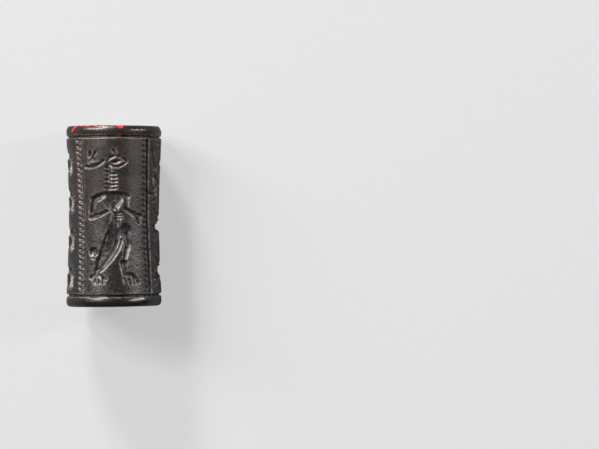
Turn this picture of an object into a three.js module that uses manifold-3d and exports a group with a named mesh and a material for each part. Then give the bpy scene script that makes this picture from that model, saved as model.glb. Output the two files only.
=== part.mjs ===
import * as THREE from "three";
import { mergeVertices } from "three/addons/utils/BufferGeometryUtils.js";
import Module from "manifold-3d";

// An engraved stone cylinder seal, pierced from end to end, lying on its side. Millimetres, +Z up.
// Its axis runs along Y with the top of the design at +Y, and the standing figure looks up at +Z.
// The origin is on the surface it lies on, under the middle of the seal.

// The stone.
const sealLength = 22;
const footSlant = 0.16; // the lower end is ground out of square, and is this much shorter at +X than at -X
const rimRadius = 5.82;
const shoulderRadius = 5.79; // of the engraved field, next to the border grooves
const waistRadius = 5.48; // of the engraved field, halfway along: the field is slightly hollow
const fieldCurve = 1.5; // power by which the radius grows from the waist to the shoulders
const fieldHalf = 9.45; // half the height of the engraved field
const grooveAt = 9.62; // border grooves, from the middle of the seal
const grooveRadius = 5.6;
const rimStart = 9.85;
const edgeRounding = 0.4;
const restFlatDepth = 0.087; // of the narrow flat under each rim, on which the seal lies
const stoneSides = 28;

// The string hole, drilled from both ends.
const boreRadius = 1.45;
const boreMouthRadius = 1.85;
const boreMouthDepth = 0.8;
const boreMiddleRadius = 1.3;
const boreSides = 12;

// The engraving.
const lineWidth = 0.2;
const lineDepth = 0.13;
const strokeDepth = 0.3;
const bodyDepth = 0.42;
const stepRound = 1.7; // between a cutter's cross-sections, so that it follows the round surface
const stepAlong = 6.5; // the same along the seal, where the surface is nearly straight

const halfLength = sealLength / 2;
const axisHeight = rimRadius - restFlatDepth;
const centreLine = new THREE.Vector3(0, 0, axisHeight);

const wasm = await Module();
wasm.setup();

// ---- Solids ----

function solidOf(geometry) {
  const bare = geometry.clone();
  bare.deleteAttribute("normal");
  bare.deleteAttribute("uv");
  const merged = mergeVertices(bare, 1e-5);
  const corners = merged.index.array;
  const triVerts = [];
  for (let i = 0; i < corners.length; i += 3) {
    const [a, b, c] = corners.subarray(i, i + 3);
    if (a !== b && b !== c && c !== a) triVerts.push(a, b, c); // a lathe's poles leave flattened triangles
  }
  return new wasm.Manifold(
    new wasm.Mesh({
      numProp: 3,
      vertProperties: new Float32Array(merged.attributes.position.array),
      triVerts: new Uint32Array(triVerts),
    }),
  );
}

function geometryOf(solid) {
  const mesh = solid.getMesh();
  const positions = new Float32Array(mesh.numVert * 3);
  for (let i = 0; i < mesh.numVert; i++)
    positions.set(mesh.vertProperties.subarray(i * mesh.numProp, i * mesh.numProp + 3), i * 3);
  return new THREE.BufferGeometry()
    .setAttribute("position", new THREE.BufferAttribute(positions, 3))
    .setIndex(new THREE.BufferAttribute(mesh.triVerts, 1));
}

// Radius of the seal's surface at a height v on the design.
function surfaceRadius(v) {
  const share = Math.min(1, Math.abs(v) / fieldHalf);
  const field = waistRadius + (shoulderRadius - waistRadius) * share ** fieldCurve;
  return Math.abs(v) > rimStart ? rimRadius : field;
}

// The outer form, turned about Y: half the profile, mirrored for the other end.
function stoneSolid() {
  const half = [new THREE.Vector2(0, halfLength)];
  for (let i = 0; i <= 2; i++) {
    const a = ((2 - i) * Math.PI) / 4;
    half.push(
      new THREE.Vector2(
        rimRadius - edgeRounding * (1 - Math.cos(a)),
        halfLength - edgeRounding * (1 - Math.sin(a)),
      ),
    );
  }
  half.push(new THREE.Vector2(rimRadius, rimStart));
  half.push(new THREE.Vector2(grooveRadius, grooveAt));
  for (const share of [1, 0.6, 0.2]) {
    const v = fieldHalf * share;
    half.push(new THREE.Vector2(surfaceRadius(v), v));
  }
  const other = half.map((p) => new THREE.Vector2(p.x, -p.y));
  return solidOf(new THREE.LatheGeometry([...other, ...half.reverse()], stoneSides));
}

function boreSolid() {
  const beyond = halfLength + 1;
  const half = [
    new THREE.Vector2(boreMiddleRadius, 0),
    new THREE.Vector2(boreRadius, halfLength - boreMouthDepth),
    new THREE.Vector2(boreMouthRadius, halfLength),
    new THREE.Vector2(boreMouthRadius, beyond),
    new THREE.Vector2(0, beyond),
  ];
  const other = half.slice(1).map((p) => new THREE.Vector2(p.x, -p.y)).reverse();
  return solidOf(new THREE.LatheGeometry([...other, ...half], boreSides));
}

// ---- The engraver's cuts ----
// The design is laid out on the unrolled surface: u along the girth at the waist, v up the seal, [u, v].
// Every cut is a closed cutter, bent round the stone. cuts collects them.

const cuts = [];
const sections = [
  { upTo: 0.56, shape: [[-1, 0], [0, 1], [1, 0]] },
  { upTo: 1.55, shape: [[-1, 0], [-0.42, 0.95], [0.42, 0.95], [1, 0]] },
  { upTo: Infinity, shape: [[-1, 0], [-0.62, 0.78], [0, 1], [0.62, 0.78], [1, 0]] },
];

function onSeal(u, v, height) {
  const angle = u / waistRadius;
  const radius = surfaceRadius(v) + height;
  return [radius * Math.sin(angle), v, radius * Math.cos(angle)];
}

// How far a cutter stands out of the stone, so that its flat top clears the round surface.
function clearance(width) {
  return 0.1 + width ** 2 / 36;
}

// A cutter with cross-sections at stations {at: [u, v], width, depth}, pointed at both ends.
// reach is how far each point goes past the end stations.
function cutter(stations, reach, direction) {
  const count = stations.length;
  const widest = Math.max(...stations.map((station) => station.width));
  const out = clearance(widest);
  const section = sections.find(({ upTo }) => widest <= upTo).shape;
  const ring = section.length;
  const tangents = stations.map((_, i) => {
    const a = stations[Math.max(0, i - 1)].at;
    const b = stations[Math.min(count - 1, i + 1)].at;
    return count === 1 ? direction : new THREE.Vector2(b[0] - a[0], b[1] - a[1]).normalize();
  });
  const positions = [];
  stations.forEach(({ at, width, depth }, i) => {
    const [shoulder, shoulderDepth] = section[1];
    const lip = 1 + ((1 + shoulder) * out) / (shoulderDepth * depth);
    section.forEach(([share, down], k) => {
      const isLip = k === 0 || k === ring - 1;
      const across = (share * (isLip ? lip : 1) * width) / 2;
      const [u, v] = [at[0] - tangents[i].y * across, at[1] + tangents[i].x * across];
      positions.push(onSeal(u, v, isLip ? out : -down * depth));
    });
  });
  const [first, last] = [stations[0].at, stations[count - 1].at];
  const [start, end] = [tangents[0], tangents[count - 1]];
  positions.push(onSeal(first[0] - start.x * reach[0], first[1] - start.y * reach[0], out));
  positions.push(onSeal(last[0] + end.x * reach[1], last[1] + end.y * reach[1], out));
  const startPoint = count * ring;
  const lastRing = startPoint - ring;
  const faces = [];
  for (let k = 0; k < ring; k++) {
    const next = (k + 1) % ring;
    faces.push(startPoint, next, k, startPoint + 1, lastRing + k, lastRing + next);
    for (let a = 0; a < lastRing; a += ring) {
      const b = a + ring;
      faces.push(a + k, a + next, b + k, a + next, b + next, b + k);
    }
  }
  const geometry = new THREE.BufferGeometry()
    .setAttribute("position", new THREE.BufferAttribute(new Float32Array(positions.flat()), 3))
    .setIndex(faces);
  cuts.push(solidOf(geometry));
}

// How many steps a cutter needs between two places.
function stepsBetween(a, b) {
  const round = Math.abs(b[0] - a[0]) / stepRound;
  const along = Math.abs(b[1] - a[1]) / stepAlong;
  return Math.max(1, Math.ceil(round), Math.ceil(along));
}

// A limb, finger or line: a groove along straight runs, its width changing evenly from start to end.
function limb(points, startWidth, endWidth, depth) {
  const runs = points.length - 1;
  const stations = [{ at: points[0], width: startWidth, depth }];
  for (let i = 0; i < runs; i++) {
    const steps = stepsBetween(points[i], points[i + 1]);
    for (let k = 1; k <= steps; k++) {
      const at = points[i].map((c, axis) => c + ((points[i + 1][axis] - c) * k) / steps);
      stations.push({ at, width: startWidth + ((endWidth - startWidth) * (i + k / steps)) / runs, depth });
    }
  }
  cutter(stations, [startWidth * 0.6, endWidth * 0.6]);
}

// A groove along a smooth bend from a to c, pulled towards b.
function bend(a, b, c, startWidth, endWidth, depth) {
  const curve = new THREE.QuadraticBezierCurve(...[a, b, c].map((p) => new THREE.Vector2(...p)));
  const steps = Math.max(3, Math.ceil(curve.getLength() / stepRound));
  const stations = curve.getSpacedPoints(steps).map((p, i) => ({
    at: [p.x, p.y],
    width: startWidth + ((endWidth - startWidth) * i) / steps,
    depth,
  }));
  cutter(stations, [startWidth * 0.6, endWidth * 0.6]);
}

// An oval hollow, its length at an angle in degrees from the girth.
function oval([u, v], along, across, angle, depth) {
  const a = THREE.MathUtils.degToRad(angle);
  const stations = [-0.75, 0, 0.75].map((t) => {
    const share = Math.sqrt(1 - t * t);
    const reach = (t * along) / 2;
    const at = [u + reach * Math.cos(a), v + reach * Math.sin(a)];
    return { at, width: across * share, depth: depth * share };
  });
  cutter(stations, [along * 0.16, along * 0.16]);
}

// A short nick, deepest in the middle.
function nick([u0, v0], [u1, v1], width, depth) {
  const along = new THREE.Vector2(u1 - u0, v1 - v0);
  const reach = (along.length() / 2) * (1 + clearance(width) / depth);
  cutter([{ at: [(u0 + u1) / 2, (v0 + v1) / 2], width, depth }], [reach, reach], along.normalize());
}

// ---- The design ----

// A twisted-rope border beside a plain line, from the top of the field to its foot.
function ropeBorder(topU, footU, lineSide) {
  const pitch = 0.68;
  const top = 9.05;
  const count = 27;
  const at = (v) => footU + ((topU - footU) * (v + fieldHalf)) / (2 * fieldHalf);
  for (let i = 0; i < count; i++) {
    const v = top - i * pitch;
    nick([at(v) - 0.36, v + 0.18], [at(v) + 0.3, v - 0.16], 0.34, 0.24);
  }
  const line = lineSide * 0.55;
  limb([[at(9.3) + line, 9.3], [at(-9.3) + line, -9.3]], lineWidth, lineWidth, lineDepth);
}

// A head in profile facing left, with a roll of hair and locks standing out from it.
function head(u, v) {
  const at = (x, y) => [u + x, v + y];
  oval(at(0, 0.05), 2.1, 1.9, 80, bodyDepth);
  limb([at(-0.1, -0.6), at(-0.35, -1.05)], 1.1, 0.5, strokeDepth);
  nick(at(-0.75, -0.2), at(-1.4, -0.62), 0.4, 0.25);
  bend(at(-1.3, 1.4), at(1.3, 2.0), at(1.6, -0.3), 0.55, 0.6, bodyDepth);
  const locks = 7;
  for (let i = 0; i < locks; i++) {
    const a = THREE.MathUtils.degToRad(124 - i * 15);
    const from = [0.3 + 1.35 * Math.cos(a), 0.3 + 1.35 * Math.sin(a)];
    const to = [0.3 + 2.3 * Math.cos(a), 0.3 + 2.3 * Math.sin(a)];
    nick(at(...from), at(...to), 0.4, 0.3);
  }
}

// A lying ibex facing left. headBack and neckRise place its crown, and its horns start hornGap above that.
function ibex(u, v, headBack, neckRise, hornGap) {
  const at = (x, y) => [u + x, v + y];
  const crown = [headBack, neckRise];
  const fromCrown = (x, y) => at(crown[0] + x, crown[1] + y);
  oval(at(0, 0), 3.3, 1.15, -6, bodyDepth);
  limb([at(-1.15, -0.1), fromCrown(0.15, 0)], 1.15, 0.75, bodyDepth);
  limb([fromCrown(-0.1, 0), fromCrown(-1.25, -0.85)], 0.7, 0.5, strokeDepth);
  oval(fromCrown(-1.35, -0.8), 0.75, 0.6, -35, strokeDepth);
  const horn = (...points) => {
    bend(...points.map(([x, y]) => fromCrown(x, y + hornGap)), 0.34, 0.22, strokeDepth);
  };
  horn([0.05, 0], [1.75, 1.75], [2.95, -0.8]);
  horn([0.55, -0.5], [1.7, 0.75], [2.4, -1.1]);
  oval(fromCrown(1.15, hornGap - 0.95), 0.65, 0.42, 25, strokeDepth);
  limb([at(-1.1, -1.35), at(-2.75, -1.1)], 0.42, 0.36, strokeDepth);
  limb([at(-2.8, -1.15), at(-3.0, -1.65)], 0.3, 0.26, strokeDepth);
  limb([at(1.15, -0.3), at(1.3, -1.2)], 1.0, 0.6, strokeDepth);
  limb([at(1.9, -1.75), at(0.25, -1.7)], 0.44, 0.36, strokeDepth);
  nick(at(1.4, 0.1), at(2.5, -0.4), 0.3, 0.22);
}

// A long-necked bird facing right, its wing and tail spread behind it. feathers is how many the wing shows.
function bird(u, v, feathers, legDrop) {
  const at = (x, y) => [u + x, v + y];
  limb([at(0.85, 0.4), at(-1.3, -0.5)], 1.3, 0.6, 0.5);
  bend(at(0.95, 0.7), at(0.1, 1.4), at(0.55, 2.2), 0.7, 0.36, strokeDepth);
  oval(at(0.85, 2.45), 0.9, 0.55, 20, strokeDepth);
  bend(at(1.1, 2.6), at(2.3, 3.0), at(2.7, 2.0), 0.34, 0.2, strokeDepth);
  nick(at(0.35, 3.1), at(1.0, 2.5), 0.28, 0.24);
  for (let i = 0; i < feathers; i++) {
    const drop = (i * 1.6) / feathers;
    limb([at(0.1 - 0.15 * i, 1.0 - drop * 0.75), at(-2.75 + 0.2 * i, 2.1 - drop)], 0.5, 0.3, strokeDepth);
  }
  for (let i = 0; i < 3; i++)
    limb([at(-1.3, -0.6 - 0.12 * i), at(-3.0 + 0.15 * i, 0.15 - 0.9 * i)], 0.34, 0.3, strokeDepth);
  const foot = -legDrop;
  limb([at(-0.15, foot - 0.1), at(1.75, foot)], 0.42, 0.36, strokeDepth);
  nick(at(1.8, foot + 0.05), at(2.05, foot - 0.65), 0.26, 0.22);
  nick(at(1.3, foot - 0.05), at(1.45, foot - 0.75), 0.26, 0.22);
}

// An open hand, fingers up, over bracelets at the wrist.
function hand(u, v, fingerLength, lean) {
  const at = (x, y) => [u + x, v + y];
  limb([at(-0.05, 0.7), at(-0.25, -1.1)], 1.9, 0.6, bodyDepth);
  const shares = [0.8, 0.97, 1, 0.95];
  const bracelets = 3;
  shares.forEach((share, i) => {
    const root = -0.6 + 0.53 * i;
    limb([at(root + lean, 0.75), at(root, 0.75 + fingerLength * share)], 0.4, 0.34, strokeDepth);
  });
  limb([at(0.4, -0.85), at(1.45, -0.2)], 0.5, 0.42, strokeDepth);
  limb([at(1.45, -0.1), at(1.4, 1.6)], 0.4, 0.32, strokeDepth);
  nick(at(1.3, 1.55), at(2.05, 2.3), 0.34, 0.24);
  for (let i = 0; i < bracelets; i++) {
    const y = -1.55 - 0.62 * i;
    nick(at(-0.75, y), at(0.95, y + 0.05), 0.36, 0.26);
  }
}

// A bearded figure seated and facing left, one arm raised.
function seatedFigure(u, v) {
  const at = (x, y) => [u + x, v + y];
  bend(at(-1.4, 3.5), at(0.7, 3.75), at(1.4, 2.7), 0.42, 0.34, strokeDepth);
  for (let i = 0; i < 5; i++) {
    nick(at(-0.95 + 0.44 * i, 3.4), at(-1.0 + 0.5 * i, 4.3 - 0.1 * i), 0.34, 0.24);
  }
  oval(at(-0.1, 2.55), 1.9, 1.0, 90, strokeDepth);
  for (let i = 0; i < 3; i++) nick(at(-0.75, 2.9 - 0.55 * i), at(0.3, 2.6 - 0.55 * i), 0.3, 0.34);
  limb([at(-1.1, 1.05), at(1.45, 1.1)], 0.45, 0.5, strokeDepth);
  limb([at(0.1, 0.9), at(0.5, -0.1)], 1.8, 0.8, bodyDepth);
  for (let i = 0; i < 3; i++) nick(at(0.1, -0.25 - 0.55 * i), at(1.3, -0.25 - 0.55 * i), 0.32, 0.3);
  limb([at(1.6, 1.1), at(2.2, -0.3), at(2.55, -1.3)], 0.55, 0.3, strokeDepth);
  limb([at(1.5, 0.5), at(1.85, -2.2)], 0.3, 0.24, 0.22);
  limb([at(-1.2, 1.0), at(-1.7, 0.25)], 0.4, 0.4, strokeDepth);
  limb([at(-1.65, 0.1), at(-2.35, 2.7)], 0.42, 0.3, strokeDepth);
  limb([at(-1.4, -0.55), at(0.2, -1.45)], 0.6, 0.7, bodyDepth);
  limb([at(-0.9, -1.6), at(0.6, -2.45)], 0.42, 0.8, strokeDepth);
  limb([at(-1.85, -0.75), at(-1.9, -2.35)], 0.42, 0.3, strokeDepth);
  limb([at(-1.1, -1.7), at(-1.1, -2.9)], 0.42, 0.3, strokeDepth);
  limb([at(-1.75, -2.7), at(-3.1, -2.6)], 0.42, 0.3, strokeDepth);
  limb([at(-0.95, -3.25), at(-2.15, -3.5)], 0.42, 0.3, strokeDepth);
}

// The tall figure that looks up from the seal, walking, one hand at its waist.
function standingFigure(u) {
  const at = (x, y) => [u + x, y];
  // crest, brow, beak and jaw of the mask it wears
  nick(at(-0.3, 8.25), at(0.45, 7.3), 0.34, 0.26);
  limb([at(-0.6, 7.2), at(1.3, 6.8)], 0.5, 0.26, strokeDepth);
  oval(at(-0.15, 6.62), 0.95, 0.5, 8, 0.26);
  bend(at(-0.6, 6.45), at(0.2, 5.7), at(1.2, 6.6), 0.22, 0.14, 0.18);
  // lock of hair and the ribbed neck
  limb([at(-0.85, 6.2), at(-0.8, 3.7)], 0.6, 0.66, strokeDepth);
  for (let i = 0; i < 5; i++) nick(at(-0.62, 5.2 - 0.45 * i), at(0.3, 5.2 - 0.45 * i), 0.3, 0.26);
  // the curved staff behind it, and the small bird on the staff
  bend(at(-1.1, 6.75), at(-2.5, 5.75), at(-3.55, 6.3), 0.34, 0.34, strokeDepth);
  nick(at(-3.35, 6.85), at(-2.2, 8.05), 0.26, 0.2);
  nick(at(-3.2, 8.1), at(-3.0, 7.2), 0.4, 0.3);
  nick(at(-3.2, 6.95), at(-2.35, 6.85), 0.3, 0.25);
  // shoulders, chest, waist and belt
  bend(at(-2.3, 2.6), at(-0.4, 3.35), at(1.5, 2.95), 0.62, 0.7, bodyDepth);
  limb([at(-0.2, 2.5), at(0.05, 1.1)], 2.1, 0.9, bodyDepth);
  limb([at(0.1, 1.0), at(0.35, -0.9)], 0.75, 0.9, strokeDepth);
  nick(at(-0.4, 0.42), at(0.95, 0.42), 0.3, 0.42);
  nick(at(-0.3, -0.2), at(1.1, -0.2), 0.3, 0.42);
  // arm bent to the waist, and arm held forward
  bend(at(-2.4, 2.5), at(-3.4, 1.5), at(-3.0, 0.2), 0.62, 0.5, bodyDepth);
  limb([at(-3.0, 0.05), at(-1.15, 0.55)], 0.42, 0.36, strokeDepth);
  limb([at(1.45, 2.8), at(1.55, 1.25)], 0.62, 0.5, bodyDepth);
  limb([at(1.55, 1.1), at(2.6, 0.3)], 0.5, 0.42, strokeDepth);
  limb([at(2.75, 0.2), at(3.5, 0.15)], 0.42, 0.36, strokeDepth);
  nick(at(2.75, 0.2), at(3.3, -0.85), 0.4, 0.3);
  // far leg: haunch, thigh and shin run together down to the foot
  oval(at(0.05, -2.2), 3.3, 2.0, 84, 0.5);
  limb([at(-0.35, -2.7), at(-1.0, -4.4), at(-2.35, -6.6)], 1.9, 0.5, bodyDepth);
  limb([at(-2.5, -6.85), at(-1.35, -7.6)], 0.55, 0.45, strokeDepth);
  // near leg
  limb([at(1.5, -1.75), at(1.6, -3.0), at(1.2, -4.6)], 0.75, 0.6, strokeDepth);
  limb([at(1.25, -5.1), at(1.65, -6.7)], 0.62, 0.45, strokeDepth);
  limb([at(1.75, -6.95), at(2.7, -7.7)], 0.55, 0.4, strokeDepth);
  for (const x of [-2.1, -1.5, 1.95, 2.55]) nick(at(x, -7.3), at(x + 0.1, -8.35), 0.26, 0.2);
  // the small crescent behind the knee
  bend(at(-2.25, -3.75), at(-3.7, -3.7), at(-3.0, -4.8), 0.26, 0.26, 0.24);
  nick(at(-2.75, -4.65), at(-2.2, -4.6), 0.3, 0.22);
}

function engraveDesign() {
  ropeBorder(-4.75, -4.25, 1);
  ropeBorder(3.6, 4.25, 1);
  ropeBorder(11.15, 11.3, 1);
  ropeBorder(15.85, 16.2, 1);
  ropeBorder(-10.45, -9.95, 1);
  standingFigure(0);
  for (let i = 0; i < 4; i++) head(-7.7 + 0.2 * i, 5.95 - 4.63 * i);
  ibex(-13.6, 6.35, -1.75, 1.35, 0.75);
  ibex(-13.6, 0.95, -2.25, 1.4, 1.2);
  ibex(-13.3, -7.1, -2.05, 2.5, 1.75);
  seatedFigure(7.55, 5.45);
  bird(8.55, -1.15, 3, 1.4);
  bird(8.3, -6.75, 4, 0.85);
  hand(13.85, 7.55, 2.0, 0.05);
  hand(13.95, 1.35, 3.0, 0.35);
  hand(13.9, -5.95, 2.9, 0.05);
}

// Old chips along the rims: flakes of a given size, each biting this deep into the edge at v.
function chipSolids() {
  const chips = [
    { u: 8.9, v: 10.9, size: 1.1, bite: 0.3 },
    { u: 8.2, v: -10.9, size: 0.9, bite: 0.2 },
    { u: -14.8, v: -10.8, size: 0.8, bite: 0.25 },
    { u: 15.6, v: 10.8, size: 0.7, bite: 0.25 },
  ];
  return chips.map(({ u, v, size, bite }) => {
    const flake = new THREE.OctahedronGeometry(size).rotateX(u).rotateY(v);
    const away = (size - bite) * 0.7;
    return solidOf(flake.translate(...onSeal(u, v + Math.sign(v) * away, away)));
  });
}

// ---- The seal ----

function sealMesh() {
  engraveDesign();
  const removed = [...cuts, ...chipSolids(), boreSolid()];
  const engraved = removed.reduce((stone, cut) => stone.subtract(cut), stoneSolid());
  const belowFloor = new THREE.BoxGeometry(20, 30, 4).translate(0, 0, -axisHeight - 2);
  const geometry = geometryOf(engraved.subtract(solidOf(belowFloor)));
  const position = geometry.attributes.position;
  for (let i = 0; i < position.count; i++) {
    const shorter = ((footSlant / halfLength) * (1 + position.getX(i) / rimRadius)) / 2;
    if (position.getY(i) < 0) position.setY(i, position.getY(i) * (1 - shorter));
  }
  const stone = new THREE.MeshStandardMaterial({ color: 0x2b292a, roughness: 0.38, metalness: 0.25 });
  const mesh = new THREE.Mesh(geometry, stone);
  mesh.name = "seal";
  mesh.position.copy(centreLine);
  return mesh;
}

const seal = new THREE.Group();
seal.add(sealMesh());

export default seal;
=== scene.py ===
import math

import bpy
import numpy as np
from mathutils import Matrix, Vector


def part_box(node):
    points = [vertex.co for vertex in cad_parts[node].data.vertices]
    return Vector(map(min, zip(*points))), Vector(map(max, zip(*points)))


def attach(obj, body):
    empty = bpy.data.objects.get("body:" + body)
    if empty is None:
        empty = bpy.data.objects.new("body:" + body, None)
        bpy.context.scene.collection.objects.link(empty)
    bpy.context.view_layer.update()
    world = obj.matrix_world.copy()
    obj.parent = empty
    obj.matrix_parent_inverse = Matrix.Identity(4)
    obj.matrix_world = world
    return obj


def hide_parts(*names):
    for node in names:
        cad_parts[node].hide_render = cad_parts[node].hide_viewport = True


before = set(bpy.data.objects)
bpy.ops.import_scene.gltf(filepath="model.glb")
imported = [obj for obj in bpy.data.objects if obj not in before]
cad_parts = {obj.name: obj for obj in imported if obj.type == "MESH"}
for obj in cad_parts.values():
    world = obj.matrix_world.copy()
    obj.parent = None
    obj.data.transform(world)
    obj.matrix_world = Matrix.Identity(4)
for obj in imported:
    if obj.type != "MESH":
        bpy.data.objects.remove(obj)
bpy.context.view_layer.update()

# An engraved haematite cylinder seal, lying on its side on a pale floor. The stone is one fine mesh, worked
# out in millimetres on its unrolled surface: u runs along the girth at the waist and v up the seal.
MM = 0.001
seal_low, seal_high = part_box("seal")

# ---- Sizes, in millimetres ----

RIM_RADIUS = (seal_high.x - seal_low.x) / 2 / MM
HALF_LENGTH = (seal_high.y - seal_low.y) / 2 / MM
AXIS_HEIGHT = seal_high.z / MM - RIM_RADIUS
WAIST_RADIUS = RIM_RADIUS - 0.34
SHOULDER_RADIUS = RIM_RADIUS - 0.03
FIELD_HALF = 9.45
FIELD_CURVE = 1.5
GROOVE_AT = 9.62
GROOVE_DEPTH = 0.24
GROOVE_WIDTH = 0.34
RIM_SWELL = 0.14  # how far the rims fall away towards the grooves
RIM_SWELL_WIDTH = 1.0
EDGE_START = 10.15  # where the rims begin to round over
EDGE_DROP = 0.42  # how far they fall by the end face
EDGE_FULLNESS = 1.3  # above 1, the rounding starts gently and turns tight
EDGE_FIRST_ANGLE = 26.0
FOOT_SLANT = 0.16
BORE_RADIUS = 1.45
BORE_MOUTH_RADIUS = 1.85
BORE_MIDDLE_RADIUS = 1.3
BORE_MOUTH_DEPTH = 0.8

LINE_WIDTH = 0.2
LINE_DEPTH = 0.13
STROKE_DEPTH = 0.3
BODY_DEPTH = 0.42
BLEND = 4  # how softly cuts run together: a higher power keeps the creases between them
VEE_UP_TO = 0.25  # cuts narrower than this are vees
ROUND_UP_TO = 1.2  # cuts from there to this width are round, and wider ones are flat pans
ROPE_STRANDS = 28
ROPE_PITCH = 0.66
ROPE_TOP = 9.1
ROPE_DEPTH = 0.36
LINE_BESIDE_ROPE = 0.55
LINE_END = 9.3

# The mesh
COLUMNS = 358
FIELD_ROWS = 214
RIM_ROWS = 16
LAST_RIM_ROW = 10.58
EDGE_RINGS = 8
FACE_RINGS = 8
GIRTH = 2 * math.pi * WAIST_RADIUS

# ---- The unrolled surface ----

U = (np.arange(COLUMNS) / COLUMNS - 0.5) * GIRTH
rim_heights = np.linspace(FIELD_HALF + 0.06, LAST_RIM_ROW, RIM_ROWS)
field_heights = np.linspace(-FIELD_HALF, FIELD_HALF, FIELD_ROWS)
V = np.concatenate([-rim_heights[::-1], field_heights, rim_heights])
relief = np.zeros((len(V), COLUMNS))


def plain_radius(v):
    """The seal's radius before carving, at a height v."""
    share = np.clip(np.abs(v) / FIELD_HALF, 0, 1)
    field = WAIST_RADIUS + (SHOULDER_RADIUS - WAIST_RADIUS) * share**FIELD_CURVE
    over = np.clip((np.abs(v) - EDGE_START) / (HALF_LENGTH - EDGE_START), 0, 1) ** EDGE_FULLNESS
    inner = np.clip(1 - (np.abs(v) - GROOVE_AT) / RIM_SWELL_WIDTH, 0, 1)
    rim = RIM_RADIUS - EDGE_DROP * (1 - np.sqrt(1 - over**2)) - RIM_SWELL * inner**2
    return np.where(np.abs(v) > GROOVE_AT, rim, field)


def uneven(pitch, seed, stretch=1.0):
    """Smooth random heights from -1 to 1, with swells about pitch across and stretch times as long."""
    across = round(GIRTH / pitch)
    along = round(2 * HALF_LENGTH / (pitch * stretch)) + 2
    lattice = np.random.default_rng(seed).uniform(-1, 1, (along + 1, across))
    x = (U / GIRTH + 0.5) * across
    y = (V + HALF_LENGTH) / (pitch * stretch)
    i, j = np.floor(x).astype(int), np.floor(y).astype(int)
    fx, fy = x - i, y - j
    fx, fy = fx * fx * (3 - 2 * fx), (fy * fy * (3 - 2 * fy))[:, None]
    left, right = i % across, (i + 1) % across
    low = lattice[j][:, left] * (1 - fx) + lattice[j][:, right] * fx
    high = lattice[j + 1][:, left] * (1 - fx) + lattice[j + 1][:, right] * fx
    return low * (1 - fy) + high * fy


def softened(field, times):
    """A field over the surface, averaged with its neighbours."""
    for _ in range(times):
        field = (np.roll(field, 1, 1) + 2 * field + np.roll(field, -1, 1)) / 4
        padded = np.pad(field, ((1, 1), (0, 0)), mode="edge")
        field = (padded[:-2] + 2 * padded[1:-1] + padded[2:]) / 4
    return field


# ---- The engraver's cuts ----


def sink(points, margin, depth_at):
    """Deepens the relief to depth_at(u, v) in the rows near the points. Cuts that meet run together."""
    low = min(p[1] for p in points) - margin
    high = max(p[1] for p in points) + margin
    rows = (V >= low) & (V <= high)
    middle = sum(p[0] for p in points) / len(points)
    u = (U - middle + GIRTH / 2) % GIRTH - GIRTH / 2 + middle
    cut = depth_at(u[None, :], V[rows][:, None])
    relief[rows] = (relief[rows] ** BLEND + cut**BLEND) ** (1 / BLEND)


def hollow(s, power=2):
    """A cut's depth across it, 1 in the middle and 0 at s = 1: power 1 is a vee, 2 round, more a pan."""
    return np.clip(1 - np.clip(s, 0, 1) ** power, 0, 1) ** (1 if power == 1 else 0.75)


def limb(points, start_width, end_width, depth):
    """A groove along straight runs, its width changing evenly from start to end."""
    widest = max(start_width, end_width)
    power = 1 if widest < VEE_UP_TO else 2 if widest < ROUND_UP_TO else 3.5
    runs = len(points) - 1

    def depth_at(u, v):
        deepest = np.zeros(np.broadcast(u, v).shape)
        for i, ((u0, v0), (u1, v1)) in enumerate(zip(points, points[1:])):
            du, dv = u1 - u0, v1 - v0
            t = np.clip(((u - u0) * du + (v - v0) * dv) / (du * du + dv * dv), 0, 1)
            width = start_width + (end_width - start_width) * (i + t) / runs
            away = np.hypot(u - u0 - t * du, v - v0 - t * dv)
            deepest = np.maximum(deepest, hollow(away / (width / 2), power))
        return depth * deepest

    sink(points, max(start_width, end_width), depth_at)


def bend(a, b, c, start_width, end_width, depth):
    """A groove along a smooth bend from a to c, pulled towards b."""

    def place(t):
        return tuple((1 - t) ** 2 * p + 2 * t * (1 - t) * q + t * t * r for p, q, r in zip(a, b, c))

    limb([place(i / 10) for i in range(11)], start_width, end_width, depth)


def oval(centre, along, across, angle, depth, power=2):
    """An oval hollow, its length at an angle in degrees from the girth."""
    a = math.radians(angle)

    def depth_at(u, v):
        x = (u - centre[0]) * math.cos(a) + (v - centre[1]) * math.sin(a)
        y = (v - centre[1]) * math.cos(a) - (u - centre[0]) * math.sin(a)
        return depth * hollow(np.hypot(x / (along / 2), y / (across / 2)), power)

    sink([centre], along, depth_at)


def nick(a, b, width, depth):
    """A short cut, deepest and widest in the middle."""
    length = math.dist(a, b)
    du, dv = (b[0] - a[0]) / length, (b[1] - a[1]) / length

    def depth_at(u, v):
        t = ((u - a[0]) * du + (v - a[1]) * dv) / length * 2 - 1
        away = np.abs((v - a[1]) * du - (u - a[0]) * dv)
        boat = np.sqrt(np.clip(1 - t * t, 0, 1))
        return depth * boat * hollow(away / (width / 2 * np.maximum(boat, 0.05)))

    sink([a, b], width, depth_at)


def placed(u, v):
    """Turns places measured from a motif's middle into places on the seal."""
    return lambda x, y: (u + x, v + y)


# ---- The design ----


def rope_border(top_u, foot_u, rope_depth=ROPE_DEPTH, line_depth=LINE_DEPTH, line_width=LINE_WIDTH):
    """A twisted-rope border beside a plain line, from the top of the field to its foot."""

    def along(v):
        return foot_u + (top_u - foot_u) * (v + FIELD_HALF) / (2 * FIELD_HALF)

    for i in range(ROPE_STRANDS):
        v = ROPE_TOP - i * ROPE_PITCH
        nick((along(v) - 0.28, v + 0.2), (along(v) + 0.36, v - 0.16), 0.3, rope_depth)
    ends = [(along(v) + LINE_BESIDE_ROPE, v) for v in (LINE_END, -LINE_END)]
    limb(ends, line_width, line_width, line_depth)


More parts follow.
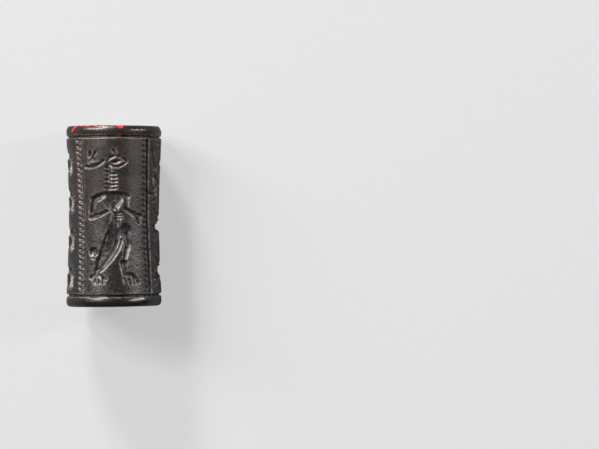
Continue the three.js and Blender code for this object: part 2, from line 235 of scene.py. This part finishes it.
def head(u, v):
    """A head in profile facing left, with a roll of hair and locks standing out from it."""
    at = placed(u, v)
    oval(at(0, 0.05), 2.1, 1.9, 80, BODY_DEPTH)
    limb([at(-0.1, -0.6), at(-0.35, -1.05)], 1.1, 0.5, STROKE_DEPTH)
    nick(at(-0.75, -0.2), at(-1.4, -0.62), 0.4, 0.25)
    bend(at(-1.3, 1.35), at(1.25, 2.05), at(1.45, -0.4), 0.9, 0.95, 0.6)
    for i in range(9):
        a = math.radians(128 - i * 14)
        start = (0.2 + 1.35 * math.cos(a), 0.3 + 1.3 * math.sin(a))
        end = (0.2 + 2.25 * math.cos(a), 0.3 + 2.3 * math.sin(a))
        nick(at(*start), at(*end), 0.4, 0.32)


def ibex(u, v, head_back, neck_rise, horn_gap):
    """A lying ibex facing left. head_back and neck_rise place its crown, horn_gap the horns above that."""
    at = placed(u, v)
    crown = placed(*at(head_back, neck_rise))
    oval(at(0, 0), 3.3, 1.15, -6, BODY_DEPTH)
    limb([at(-1.15, -0.1), crown(0.15, 0)], 1.15, 0.75, BODY_DEPTH)
    limb([crown(-0.1, 0), crown(-1.25, -0.85)], 0.7, 0.5, STROKE_DEPTH)
    oval(crown(-1.35, -0.8), 0.75, 0.6, -35, STROKE_DEPTH)
    horn = placed(*crown(0, horn_gap))
    bend(horn(0.05, 0), horn(1.75, 1.75), horn(2.95, -0.8), 0.34, 0.22, STROKE_DEPTH)
    bend(horn(0.55, -0.5), horn(1.7, 0.75), horn(2.4, -1.1), 0.34, 0.22, STROKE_DEPTH)
    oval(horn(1.15, -0.95), 0.65, 0.42, 25, STROKE_DEPTH)
    limb([at(-1.1, -1.35), at(-2.75, -1.1)], 0.42, 0.36, STROKE_DEPTH)
    limb([at(-2.8, -1.15), at(-3.0, -1.65)], 0.3, 0.26, STROKE_DEPTH)
    limb([at(1.15, -0.3), at(1.3, -1.2)], 1.0, 0.6, STROKE_DEPTH)
    limb([at(1.9, -1.75), at(0.25, -1.7)], 0.44, 0.36, STROKE_DEPTH)
    nick(at(1.4, 0.1), at(2.5, -0.4), 0.3, 0.22)


def bird(u, v, feathers, leg_drop, body_reach):
    """A long-necked bird facing right, its wing and tail spread behind it."""
    at = placed(u, v)
    limb([at(body_reach, 0.3), at(-body_reach - 0.2, -0.45)], 1.4, 1.15, 0.5)
    bend(at(0.95, 0.7), at(0.1, 1.4), at(0.55, 2.2), 0.7, 0.36, STROKE_DEPTH)
    oval(at(0.85, 2.45), 0.9, 0.55, 20, STROKE_DEPTH)
    bend(at(1.1, 2.6), at(2.3, 3.0), at(2.7, 2.0), 0.34, 0.2, STROKE_DEPTH)
    nick(at(0.35, 3.1), at(1.0, 2.5), 0.28, 0.24)
    for i in range(feathers):
        drop = i * 1.6 / feathers
        root, tip = at(0.1 - 0.15 * i, 1.0 - drop * 0.75), at(-2.75 + 0.2 * i, 2.1 - drop)
        limb([root, tip], 0.5, 0.3, STROKE_DEPTH)
    for i in range(3):
        limb([at(-1.3, -0.6 - 0.12 * i), at(-3.0 + 0.15 * i, 0.15 - 0.9 * i)], 0.34, 0.3, STROKE_DEPTH)
    foot = -leg_drop
    limb([at(-0.15, foot - 0.1), at(1.75, foot)], 0.42, 0.36, STROKE_DEPTH)
    nick(at(1.8, foot + 0.05), at(2.05, foot - 0.65), 0.26, 0.22)
    nick(at(1.3, foot - 0.05), at(1.45, foot - 0.75), 0.26, 0.22)


def hand(u, v, finger_length, lean):
    """An open hand, fingers up, over bracelets at the wrist."""
    at = placed(u, v)
    limb([at(-0.05, 0.7), at(-0.25, -1.1)], 1.9, 0.6, BODY_DEPTH)
    for i, share in enumerate([0.8, 0.97, 1, 0.95]):
        root = -0.6 + 0.53 * i
        limb([at(root + lean, 0.75), at(root, 0.75 + finger_length * share)], 0.4, 0.34, STROKE_DEPTH)
    limb([at(0.4, -0.85), at(1.45, -0.2)], 0.5, 0.42, STROKE_DEPTH)
    limb([at(1.45, -0.1), at(1.4, 1.6)], 0.4, 0.32, STROKE_DEPTH)
    nick(at(1.3, 1.55), at(2.05, 2.3), 0.34, 0.24)
    for i in range(3):
        y = -1.55 - 0.62 * i
        nick(at(-0.75, y), at(0.95, y + 0.05), 0.36, 0.26)


def seated_figure(u, v):
    """A bearded figure seated and facing left, one arm raised."""
    at = placed(u, v)
    bend(at(-1.4, 3.5), at(0.7, 3.75), at(1.4, 2.7), 0.42, 0.34, STROKE_DEPTH)
    for i in range(6):
        nick(at(-0.95 + 0.36 * i, 3.4), at(-1.0 + 0.42 * i, 4.35 - 0.09 * i), 0.3, 0.24)
    oval(at(-0.1, 2.55), 1.9, 1.0, 90, STROKE_DEPTH)
    for i in range(3):
        nick(at(-0.75, 2.9 - 0.55 * i), at(0.3, 2.6 - 0.55 * i), 0.3, 0.34)
        nick(at(0.1, -0.25 - 0.55 * i), at(1.3, -0.25 - 0.55 * i), 0.32, 0.3)
    limb([at(-1.1, 1.05), at(1.45, 1.1)], 0.45, 0.5, STROKE_DEPTH)
    limb([at(0.1, 0.9), at(0.5, -0.1)], 1.8, 0.8, BODY_DEPTH)
    limb([at(1.6, 1.1), at(2.2, -0.3), at(2.55, -1.3)], 0.55, 0.3, STROKE_DEPTH)
    limb([at(1.5, 0.5), at(1.85, -2.2)], 0.3, 0.24, 0.22)
    limb([at(-1.2, 1.0), at(-1.7, 0.25)], 0.4, 0.4, STROKE_DEPTH)
    limb([at(-1.65, 0.1), at(-2.35, 2.7)], 0.42, 0.3, STROKE_DEPTH)
    limb([at(-1.4, -0.55), at(0.2, -1.45)], 0.6, 0.7, BODY_DEPTH)
    limb([at(-0.9, -1.6), at(0.6, -2.45)], 0.42, 0.8, STROKE_DEPTH)
    limb([at(-1.85, -0.75), at(-1.9, -2.35)], 0.42, 0.3, STROKE_DEPTH)
    limb([at(-1.1, -1.7), at(-1.1, -2.9)], 0.42, 0.3, STROKE_DEPTH)
    limb([at(-1.75, -2.7), at(-3.1, -2.6)], 0.42, 0.3, STROKE_DEPTH)
    limb([at(-0.95, -3.25), at(-2.15, -3.5)], 0.42, 0.3, STROKE_DEPTH)


def standing_figure():
    """The tall figure that looks up from the seal, walking, one hand at its waist."""
    # crest, brow, beak and jaw of the mask it wears
    nick((-0.15, 8.2), (0.2, 7.3), 0.36, 0.3)
    bend((-0.85, 6.6), (-0.1, 7.9), (1.45, 6.75), 0.36, 0.24, 0.22)
    oval((0.2, 6.62), 1.5, 0.5, 10, 0.3)
    bend((-0.7, 6.4), (0.5, 5.55), (1.5, 6.6), 0.3, 0.2, 0.26)
    # the curled lock of hair and the ribbed neck
    limb([(-0.72, 6.2), (-0.62, 3.3)], 0.7, 0.85, 0.24)
    for i in range(6):
        nick((-1.12, 5.95 - 0.5 * i), (-0.6, 5.75 - 0.5 * i), 0.34, 0.3)
    for i in range(5):
        nick((-0.6, 5.12 - 0.44 * i), (0.45, 5.12 - 0.44 * i), 0.3, 0.26)
    # the curved staff behind it, and the small creature on the staff
    bend((-1.2, 6.8), (-2.3, 5.85), (-3.45, 6.02), 0.24, 0.36, 0.34)
    nick((-3.25, 6.35), (-2.1, 7.95), 0.26, 0.26)
    nick((-2.95, 8.0), (-2.98, 7.0), 0.44, 0.34)
    nick((-2.9, 6.9), (-2.2, 6.85), 0.3, 0.34)
    # shoulders, chest, waist and belt
    bend((-2.5, 2.1), (-0.4, 3.15), (1.55, 2.4), 0.85, 0.9, 0.3)
    limb([(-0.05, 1.95), (-0.1, 0.95)], 2.35, 0.75, 0.38)
    nick((-1.45, 2.3), (-0.3, 0.65), 0.32, 0.2)
    nick((-0.7, 2.6), (-0.15, 0.7), 0.4, 0.14)
    nick((1.15, 2.4), (0.05, 0.5), 0.32, 0.2)
    nick((0.4, 2.5), (0.0, 1.2), 0.35, 0.12)
    limb([(0.0, 0.9), (0.3, -0.7)], 0.8, 1.15, STROKE_DEPTH)
    for i in range(3):
        nick((-0.35, 0.4 - 0.31 * i), (1.15, 0.4 - 0.31 * i), 0.24, 0.34)
    # arm bent to the waist, and arm held forward
    bend((-1.9, 2.4), (-3.0, 1.7), (-2.8, 0.1), 0.8, 0.42, 0.3)
    limb([(-2.9, -0.08), (-1.9, 0.2), (-0.85, 0.66)], 0.55, 0.34, 0.36)
    limb([(1.55, 2.4), (1.5, 1.15)], 0.75, 0.5, 0.36)
    limb([(1.45, 1.0), (2.6, 0.3)], 0.55, 0.42, 0.36)
    limb([(2.65, 0.22), (3.5, 0.12)], 0.4, 0.34, STROKE_DEPTH)
    nick((2.8, 0.15), (3.3, -0.9), 0.44, 0.32)
    # hips, and the far leg running down to its foot in one broad hollow with a hem along it
    oval((1.15, -1.65), 2.0, 1.7, 20, 0.26)
    limb([(0.25, -0.4), (0.1, -1.4), (-0.2, -2.6)], 0.9, 2.1, 0.26)
    limb([(-0.2, -2.7), (-0.68, -3.9)], 2.05, 2.0, 0.3)
    limb([(-0.68, -3.9), (-1.6, -5.5), (-2.2, -6.85)], 2.0, 0.7, 0.4)
    bend((0.95, -2.8), (0.65, -4.6), (-1.55, -6.5), 0.34, 0.26, 0.22)
    bend((0.35, -3.0), (0.0, -4.6), (-2.0, -6.5), 0.36, 0.3, 0.54)
    bend((-0.95, -2.2), (-1.4, -4.0), (-2.35, -6.6), 0.3, 0.3, 0.4)
    bend((-2.75, -7.4), (-2.25, -6.7), (-1.05, -7.6), 0.42, 0.34, STROKE_DEPTH)
    # near leg
    limb([(1.45, -2.2), (1.7, -3.5), (1.35, -5.0)], 0.95, 0.5, 0.32)
    limb([(1.2, -5.65), (1.35, -6.9)], 0.95, 0.62, 0.34)
    bend((1.4, -7.1), (2.35, -6.85), (2.95, -8.0), 0.46, 0.32, STROKE_DEPTH)
    for x in (-2.35, -1.85, -1.35, 1.2, 1.75, 2.3):
        nick((x, -7.35), (x + 0.15, -8.3), 0.28, 0.16)
    # the small ball and dash behind the knee
    oval((-2.5, -4.25), 1.15, 1.15, 0, 0.26, 5)
    nick((-2.8, -5.05), (-2.3, -5.1), 0.24, 0.18)


def engrave():
    """Cuts the whole design and the border grooves into the relief, and wears it unevenly."""
    rope_border(-4.75, -4.25, 0.26, 0.2, 0.24)
    rope_border(3.7, 4.25, 0.14, 0.42, 0.34)
    rope_border(11.15, 11.3)
    rope_border(15.85, 16.2)
    rope_border(-10.45, -9.95)
    standing_figure()
    for i in range(4):
        head(-8.1 + 0.13 * i, 5.95 - 4.63 * i)
    ibex(-13.6, 6.35, -1.75, 1.35, 0.75)
    ibex(-13.6, 0.95, -2.25, 1.4, 1.2)
    ibex(-13.3, -7.1, -2.05, 2.5, 1.75)
    seated_figure(7.55, 5.45)
    bird(8.55, -1.15, 3, 1.4, 2.1)
    bird(8.3, -6.75, 4, 0.85, 1.4)
    hand(13.85, 7.55, 2.0, 0.05)
    hand(13.95, 1.35, 3.0, 0.35)
    hand(13.9, -5.95, 2.9, 0.05)
    relief[:] = softened(relief, 1)
    relief[:] += 0.035 * uneven(0.32, 11) * np.clip(relief / 0.15, 0, 1)
    wander = 0.03 * uneven(2.5, 3) + 0.05 * uneven(6.0, 4)
    for side in (-1, 1):
        away = np.abs(V[:, None] - side * GROOVE_AT - wander) / (GROOVE_WIDTH / 2)
        relief[:] = np.maximum(relief, GROOVE_DEPTH * (1 + 0.3 * uneven(1.1, 5)) * hollow(away))
    relief[:] += 0.015 * uneven(1.6, 7)


def roughen():
    """Adds the stone's own grain and small pits, fainter on the handled rims."""
    handled = np.where(np.abs(V) > GROOVE_AT, 0.4, 1.0)[:, None]
    grain = 0.002 * uneven(0.35, 8, 1.6) + 0.003 * uneven(0.2, 9, 1.4)
    relief[:] += handled * (grain + 0.07 * np.clip(uneven(0.22, 12) - 0.72, 0, 1))


engrave()
HOLLOWS = relief - softened(relief, 4)
BROAD = softened(relief, 6)
roughen()

# ---- The stone as a mesh ----


def ring_profile():
    """The stone's closed section as (radius, height, row of the relief, lean towards the end)."""
    rows = [(float(plain_radius(v)), v, k, 0.0) for k, v in enumerate(V)]
    top_edge = []
    for angle in np.radians(np.linspace(EDGE_FIRST_ANGLE, 90, EDGE_RINGS)[1:]):
        radius = RIM_RADIUS - EDGE_DROP * (1 - math.cos(angle))
        height = EDGE_START + (HALF_LENGTH - EDGE_START) * math.sin(angle) ** (1 / EDGE_FULLNESS)
        top_edge.append((radius, height, len(V) - 1, math.sin(angle)))
    face = np.linspace(RIM_RADIUS - EDGE_DROP, BORE_MOUTH_RADIUS, FACE_RINGS)[1:]
    top_face = [(float(r), HALF_LENGTH, None, 1.0) for r in face]
    bore_top = [(BORE_RADIUS, HALF_LENGTH - BORE_MOUTH_DEPTH, None, 0.0)]
    upper = top_edge + top_face + bore_top
    lower = [(r, -y, 0 if k is not None else None, -n) for r, y, k, n in reversed(upper)]
    return rows + upper + [(BORE_MIDDLE_RADIUS, 0.0, None, 0.0)] + lower


def stone_vertices():
    """Every vertex of the stone in millimetres, ring by ring, and the fields that its finish follows."""
    angle = U / WAIST_RADIUS
    points, fields = [], {"carved": [], "crevice": [], "rubbed_and_highlit": []}
    for radius, height, row, lean in ring_profile():
        fade = 1 - abs(lean)
        if row is None:
            cut, hollowed, depth = np.zeros((3, COLUMNS))
        else:
            cut, hollowed, depth = relief[row] * fade, HOLLOWS[row] * fade, BROAD[row] * fade
        r = np.minimum(radius - cut, RIM_RADIUS)
        points.append(np.stack([r * np.sin(angle), np.full(COLUMNS, height), r * np.cos(angle)], 1))
        fields["carved"].append(depth / BODY_DEPTH)
        fields["crevice"].append(np.clip(hollowed / 0.06, 0, 1))
        # Ridge edges beside the cuts: their colour gets a painted highlight, and their roughness the polish
        # of wear
        fields["rubbed_and_highlit"].append(np.clip(-hollowed / 0.04, 0, 1))
    return np.concatenate(points), {name: np.concatenate(values) for name, values in fields.items()}


def on_side(u, v, r):
    """A place at radius r from the axis, in the seal's own frame."""
    return np.array([r * math.sin(u / WAIST_RADIUS), v, r * math.cos(u / WAIST_RADIUS)])


def scoop(points, centre, radius):
    """Presses a round chip into the stone: nothing stays within radius of the centre."""
    offset = points - centre
    distance = np.linalg.norm(offset, axis=1, keepdims=True)
    return np.where(distance < radius, centre + offset * radius / np.maximum(distance, 1e-6), points)


# Old chips on the rims: (u, v, radius of the chip, how deep it bites)
CHIPS = [
    (8.6, 11.0, 3.0, 0.52),
    (9.4, 10.9, 1.1, 0.45),
    (8.2, -10.9, 0.9, 0.36),
    (-14.8, -10.8, 0.8, 0.38),
    (15.6, 10.8, 0.7, 0.36),
]


def chipped(points):
    for u, v, radius, bite in CHIPS:
        away = (radius - bite) * 0.7
        points = scoop(points, on_side(u, v + math.copysign(away, v), RIM_RADIUS + away), radius)
    return points


def paint_strokes():
    """The strokes of red paint on the top end, as (start, end, half-width) in the seal's own frame."""
    edge = RIM_RADIUS - 0.14
    top = HALF_LENGTH - 0.04
    strokes = []
    for i in range(17):
        u = 0.3 * i - 4.6
        strokes.append((on_side(u, top, edge), on_side(u + 0.3, top, edge), 0.1))
    slanted_end = on_side(-5.95, HALF_LENGTH - 0.75, RIM_RADIUS)
    strokes.append((on_side(-5.15, HALF_LENGTH, edge), slanted_end, 0.17))
    strokes.append((on_side(0.5, HALF_LENGTH, edge), on_side(0.8, HALF_LENGTH - 0.1, edge), 0.28))
    for i in range(6):
        u = -4.4 + 1.05 * i
        strokes.append((on_side(u, HALF_LENGTH, edge), on_side(u - 0.5, HALF_LENGTH, edge - 2.2), 0.17))
    return strokes


def paint_reach(points):
    """How far inside the nearest stroke of paint each point is; below zero is bare stone."""
    reach = np.full(len(points), -1.0)
    for start, end, half_width in paint_strokes():
        along = end - start
        share = np.clip((points - start) @ along / (along @ along), 0, 1)
        away = np.linalg.norm(points - start - share[:, None] * along, axis=1)
        reach = np.maximum(reach, half_width - away)
    return reach


def build_stone():
    points, fields = stone_vertices()
    points = chipped(points)
    fields["paint"] = paint_reach(points)
    fields["height"] = points[:, 1] / HALF_LENGTH
    fields["rim"] = np.clip((np.abs(points[:, 1]) - GROOVE_AT) / 0.2, 0, 1)
    shorter = FOOT_SLANT / HALF_LENGTH * (1 + points[:, 0] / RIM_RADIUS) / 2
    points[:, 1] *= np.where(points[:, 1] < 0, 1 - shorter, 1)
    points[:, 2] = np.maximum(points[:, 2] + AXIS_HEIGHT, 0)
    rings = len(points) // COLUMNS
    index = np.arange(rings * COLUMNS).reshape(rings, COLUMNS)
    after, beside = np.roll(index, -1, 0), np.roll(index, -1, 1)
    faces = np.stack([index, after, np.roll(after, -1, 1), beside], 2).reshape(-1, 4)
    mesh = bpy.data.meshes.new("seal_stone")
    mesh.from_pydata((points * MM).tolist(), [], faces.tolist())
    mesh.polygons.foreach_set("use_smooth", [True] * len(faces))
    for name, values in fields.items():
        mesh.attributes.new(name, "FLOAT", "POINT").data.foreach_set("value", values)
    mesh.update()
    stone = bpy.data.objects.new("seal_stone", mesh)
    bpy.context.collection.objects.link(stone)
    return stone


# ---- Finishes ----


STONE = (0.014, 0.0135, 0.0137)
BROWN_STAIN = (0.04, 0.023, 0.017)
PALE_SPECK = (0.11, 0.085, 0.07)
# Painted shade, laid into the crevices of the cuts
PAINTED_CREVICE_SHADE = (0.007, 0.005, 0.004)
# Painted highlight, laid along the worn ridges beside the cuts
PAINTED_EDGE_HIGHLIGHT = (0.2, 0.18, 0.17)
EARTH = (0.2, 0.095, 0.042)
RED_PAINT = (0.75, 0.014, 0.004)
PAPER_UNSEEN = (0.25, 0.25, 0.25)
PAPER_GLOW = 0.47


class Finish:
    """A material under construction: each call adds one node and gives back its output."""

    def __init__(self, name):
        self.material = bpy.data.materials.new(name)
        self.material.use_nodes = True
        self.nodes, self.links = self.material.node_tree.nodes, self.material.node_tree.links
        self.shader = self.nodes["Principled BSDF"]

    def feed(self, value, socket):
        if isinstance(value, bpy.types.NodeSocket):
            self.links.new(value, socket)
        else:
            socket.default_value = value

    def place(self, stretch):
        """The place on the object in millimetres, drawn out by the stretch along each axis."""
        coordinates = self.nodes.new("ShaderNodeTexCoord")
        mapping = self.nodes.new("ShaderNodeMapping")
        mapping.inputs["Scale"].default_value = [1 / MM / s for s in stretch]
        self.links.new(coordinates.outputs["Object"], mapping.inputs["Vector"])
        return mapping.outputs["Vector"]

    def field(self, name):
        """A field stored on the mesh."""
        node = self.nodes.new("ShaderNodeAttribute")
        node.attribute_name = name
        return node.outputs["Fac"]

    def noise(self, pitch, detail, stretch=(1, 1, 1)):
        """Cloudy noise from 0 to 1 whose swells are about pitch millimetres across."""
        node = self.nodes.new("ShaderNodeTexNoise")
        node.inputs["Scale"].default_value = 1 / pitch
        node.inputs["Detail"].default_value = detail
        self.links.new(self.place(stretch), node.inputs["Vector"])
        return node.outputs["Fac"]

    def ramp(self, value, low, high, start=0.0, end=1.0):
        """Takes a value that goes from low to high smoothly from start to end."""
        node = self.nodes.new("ShaderNodeMapRange")
        node.interpolation_type = "SMOOTHSTEP"
        for name, number in [("From Min", low), ("From Max", high), ("To Min", start), ("To Max", end)]:
            node.inputs[name].default_value = number
        self.feed(value, node.inputs["Value"])
        return node.outputs["Result"]

    def math(self, operation, a, b):
        node = self.nodes.new("ShaderNodeMath")
        node.operation = operation
        self.feed(a, node.inputs[0])
        self.feed(b, node.inputs[1])
        return node.outputs["Value"]

    def blend(self, share, a, b):
        """Colour a turning into colour b with the share."""
        node = self.nodes.new("ShaderNodeMix")
        node.data_type = "RGBA"
        self.feed(share, node.inputs["Factor"])
        self.feed(a if isinstance(a, bpy.types.NodeSocket) else (*a, 1), node.inputs[6])
        self.feed(b if isinstance(b, bpy.types.NodeSocket) else (*b, 1), node.inputs[7])
        return node.outputs[2]

    def bump(self, height, depth):
        node = self.nodes.new("ShaderNodeBump")
        node.inputs["Distance"].default_value = depth * MM
        self.feed(height, node.inputs["Height"])
        self.links.new(node.outputs["Normal"], self.shader.inputs["Normal"])


def haematite():
    """Polished grey-black stone: grain, brown stain, earth in the cuts, painted shade in the crevices,
    painted highlights on the worn ridges, red paint.
    """
    finish = Finish("haematite")
    grain = finish.noise(0.2, 3)
    flecks = finish.ramp(finish.noise(0.17, 2), 0.44, 0.58)
    crevice, rim = finish.field("crevice"), finish.field("rim")
    upper = finish.ramp(finish.field("height"), -0.4, 0.9)
    patches = finish.ramp(finish.ramp(finish.noise(0.7, 3), 0.4, 0.62), 0.0, 1.0, 0.25, 1.0)
    rubbed_and_highlit = finish.math("MULTIPLY", finish.field("rubbed_and_highlit"), patches)
    ragged = finish.ramp(finish.noise(0.25, 3), 0.3, 0.7, -0.07, 0.05)
    painted = finish.ramp(finish.math("ADD", finish.field("paint"), ragged), 0.0, 0.03)

    stain = finish.math("MULTIPLY", finish.ramp(finish.noise(2.4, 4), 0.3, 0.65), upper)
    colour = finish.blend(stain, STONE, BROWN_STAIN)
    speckle = finish.math("SUBTRACT", finish.ramp(finish.noise(0.2, 2), 0.6, 0.66, 0.0, 0.6), rim)
    colour = finish.blend(finish.math("MAXIMUM", speckle, 0.0), colour, PALE_SPECK)
    # Painted shade: the colour is darkened along the crevices of the cuts, where shade falls
    colour = finish.blend(finish.math("MULTIPLY", crevice, 0.85), colour, PAINTED_CREVICE_SHADE)
    # Painted highlight: the ridges beside the cuts are made lighter in colour where light would catch them
    colour = finish.blend(rubbed_and_highlit, colour, PAINTED_EDGE_HIGHLIGHT)
    cuts = finish.math("MAXIMUM", crevice, finish.field("rubbed_and_highlit"))
    earth = finish.math("MULTIPLY", cuts, finish.ramp(finish.noise(0.6, 3), 0.57, 0.66))
    colour = finish.blend(earth, colour, EARTH)
    finish.feed(finish.blend(painted, colour, RED_PAINT), finish.shader.inputs["Base Color"])

    dulled = finish.math("MULTIPLY", upper, 0.06)
    gloss = finish.math("ADD", finish.ramp(flecks, 0, 1, 0.25, 0.37), dulled)
    gloss = finish.math("ADD", gloss, finish.math("MULTIPLY", finish.field("carved"), 0.08))
    handled = finish.math("MULTIPLY", finish.math("MAXIMUM", rim, rubbed_and_highlit), 0.13)
    matt_paint = finish.math("MULTIPLY", painted, 0.85)
    gloss = finish.math("MAXIMUM", finish.math("SUBTRACT", gloss, handled), matt_paint)
    finish.feed(gloss, finish.shader.inputs["Roughness"])
    finish.shader.inputs["IOR"].default_value = 1.75
    finish.shader.inputs["Specular Tint"].default_value = (1, 0.965, 0.95, 1)
    finish.bump(finish.math("SUBTRACT", grain, finish.math("MULTIPLY", flecks, 0.3)), 0.016)
    return finish.material


def floor_finish():
    """Matt white paper on a light table, seen bright but kept dim in the stone's polish."""
    finish = Finish("floor_paper")
    seen = finish.nodes.new("ShaderNodeLightPath").outputs["Is Camera Ray"]
    tone = finish.ramp(finish.noise(1.5, 3), 0.3, 0.7)
    paper = finish.blend(tone, (0.3, 0.3, 0.3), (0.305, 0.305, 0.305))
    finish.feed(finish.blend(seen, PAPER_UNSEEN, paper), finish.shader.inputs["Base Color"])
    finish.feed(finish.blend(seen, (0, 0, 0), (1, 1, 1)), finish.shader.inputs["Emission Color"])
    finish.shader.inputs["Emission Strength"].default_value = PAPER_GLOW
    finish.shader.inputs["Roughness"].default_value = 0.9
    finish.shader.inputs["Specular IOR Level"].default_value = 0.2
    return finish.material


# ---- Studio ----


def add_floor():
    mesh = bpy.data.meshes.new("floor")
    half = 3.0
    corners = [(-half, -half, 0), (half, -half, 0), (half, half, 0), (-half, half, 0)]
    mesh.from_pydata(corners, [], [(0, 1, 2, 3)])
    mesh.materials.append(floor_finish())
    floor = bpy.data.objects.new("floor", mesh)
    bpy.context.collection.objects.link(floor)


def add_light(name, place, width, length, power):
    """A soft box at a place, aimed at the seal."""
    lamp = bpy.data.lights.new(name, "AREA")
    lamp.shape = "RECTANGLE"
    lamp.size, lamp.size_y = width, length
    lamp.energy = power
    light = bpy.data.objects.new(name, lamp)
    light.location = place
    light.rotation_euler = (-Vector(place)).to_track_quat("-Z", "Y").to_euler()
    bpy.context.collection.objects.link(light)


def add_camera():
    """Straight above the seal, turned so that the seal stands left of the middle of the picture."""
    lens, sensor = 200.0, 36.0
    picture_width = 73.3 * MM  # at the height of the seal's axis
    distance = picture_width * lens / sensor
    left, up = 22.7 * MM, 0.98 * MM  # of the seal from the picture's middle
    camera_data = bpy.data.cameras.new("camera")
    camera_data.lens, camera_data.sensor_width = lens, sensor
    camera_data.clip_start = 0.01
    camera = bpy.data.objects.new("camera", camera_data)
    camera.location = (0, 0, AXIS_HEIGHT * MM + distance)
    camera.rotation_mode = "QUATERNION"
    camera.rotation_quaternion = Vector((-left, up, -distance)).rotation_difference(Vector((0, 0, -1)))
    bpy.context.collection.objects.link(camera)
    bpy.context.scene.camera = camera


add_camera()
stone = build_stone()
stone.data.materials.append(haematite())
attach(stone, "root")
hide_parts("seal")

add_floor()
add_light("key_box", (-0.5, 0.28, 0.4), 0.18, 0.5, 3.2)
add_light("top_box", (-0.2, 0.6, 0.3), 0.14, 0.14, 4.0)
add_light("glint_box", (-0.3, 0.34, 0.52), 0.06, 0.06, 1.0)
add_light("edge_strip", (0.62, 0.16, 0.36), 0.05, 0.5, 1.4)
world = bpy.data.worlds.new("studio")
world.use_nodes = True
world.node_tree.nodes["Background"].inputs["Color"].default_value = (0.8, 0.82, 0.85, 1)
world.node_tree.nodes["Background"].inputs["Strength"].default_value = 0.07
bpy.context.scene.world = world
bpy.context.scene.view_settings.view_transform = "Standard"
